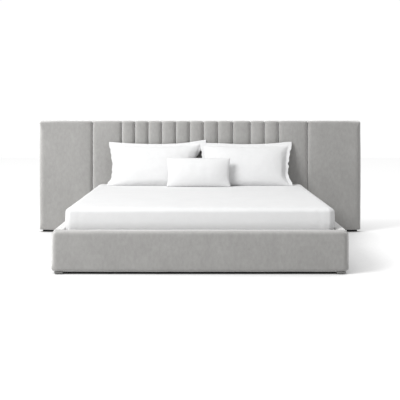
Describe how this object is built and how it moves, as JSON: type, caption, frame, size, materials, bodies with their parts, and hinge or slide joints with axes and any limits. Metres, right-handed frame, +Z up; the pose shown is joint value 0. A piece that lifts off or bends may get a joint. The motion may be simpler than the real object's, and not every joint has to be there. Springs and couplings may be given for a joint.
{
  "type": "upholstered bed",
  "caption": "Wide upholstered bed: channelled headboard with side wings, padded low platform base, mattress and pillows.",
  "frame": {"origin": "on the floor under the middle of the footprint", "axes": "+X across the bed to the right as seen from its foot end, +Y from the foot end to the headboard, +Z up"},
  "size_m": [3.059, 2.2299, 1.055],
  "materials": {
    "grey_upholstery": "matte",
    "dust_cloth": "matte",
    "plywood": "matte",
    "pine": "matte",
    "birch_slat": "satin",
    "black_wood": "satin",
    "zinc_steel": "satin",
    "grey_foot": "matte",
    "black_glide": "matte",
    "webbing": "matte",
    "mattress_ticking": "matte",
    "white_cotton": "matte"
  },
  "bodies": {
    "bed_frame": {"beam_hangers": "zinc_steel", "centre_beam": "pine", "centre_leg_glides": "black_glide", "centre_legs": "pine", "corner_brackets": "zinc_steel", "corner_feet": "grey_foot", "corner_foot_glides": "black_glide", "foot_plinth": "black_wood", "foot_rail_board": "pine", "foot_rail_cover": "grey_upholstery", "head_rail": "pine", "headboard_base_panel": "grey_upholstery", "headboard_centre_back_cover": "dust_cloth", "headboard_centre_frame": "pine", "headboard_centre_panel": "plywood", "headboard_centre_plinth": "black_wood", "headboard_channel_01": "grey_upholstery", "headboard_channel_02": "grey_upholstery", "headboard_channel_03": "grey_upholstery", "headboard_channel_04": "grey_upholstery", "headboard_channel_05": "grey_upholstery", "headboard_channel_06": "grey_upholstery", "headboard_channel_07": "grey_upholstery", "headboard_channel_08": "grey_upholstery", "headboard_channel_09": "grey_upholstery", "headboard_channel_10": "grey_upholstery", "headboard_channel_11": "grey_upholstery", "headboard_channel_12": "grey_upholstery", "headboard_channel_13": "grey_upholstery", "headboard_hook_plates": "zinc_steel", "headboard_left_back_cover": "dust_cloth", "headboard_left_frame": "pine", "headboard_left_pad": "grey_upholstery", "headboard_left_panel": "plywood", "headboard_left_plinth": "black_wood", "headboard_right_back_cover": "dust_cloth", "headboard_right_frame": "pine", "headboard_right_pad": "grey_upholstery", "headboard_right_panel": "plywood", "headboard_right_plinth": "black_wood", "joining_plates": "zinc_steel", "left_rail_board": "pine", "left_rail_cover": "grey_upholstery", "left_slats": "birch_slat", "rail_hook_plates": "zinc_steel", "right_rail_board": "pine", "right_rail_cover": "grey_upholstery", "right_slats": "birch_slat", "side_plinths": "black_wood", "slat_ledges": "pine", "slat_webbing": "webbing"},
    "mattress": {"mattress": "mattress_ticking", "fitted_sheet": "white_cotton"},
    "pillow_left": {"pillow_left": "white_cotton"},
    "pillow_right": {"pillow_right": "white_cotton"},
    "small_pillow": {"small_pillow": "white_cotton"}
  },
  "joints": [
    {"name": "mattress_lift", "type": "slide", "parent": "bed_frame", "child": "mattress", "axis": [0, 0, 1], "range_m": [0, 0.3]},
    {"name": "pillow_left_lift", "type": "slide", "parent": "mattress", "child": "pillow_left", "axis": [0, 0, 1], "range_m": [0, 0.3]},
    {"name": "pillow_right_lift", "type": "slide", "parent": "mattress", "child": "pillow_right", "axis": [0, 0, 1], "range_m": [0, 0.3]},
    {"name": "small_pillow_lift", "type": "slide", "parent": "mattress", "child": "small_pillow", "axis": [0, 0, 1], "range_m": [0, 0.3]}
  ]
}
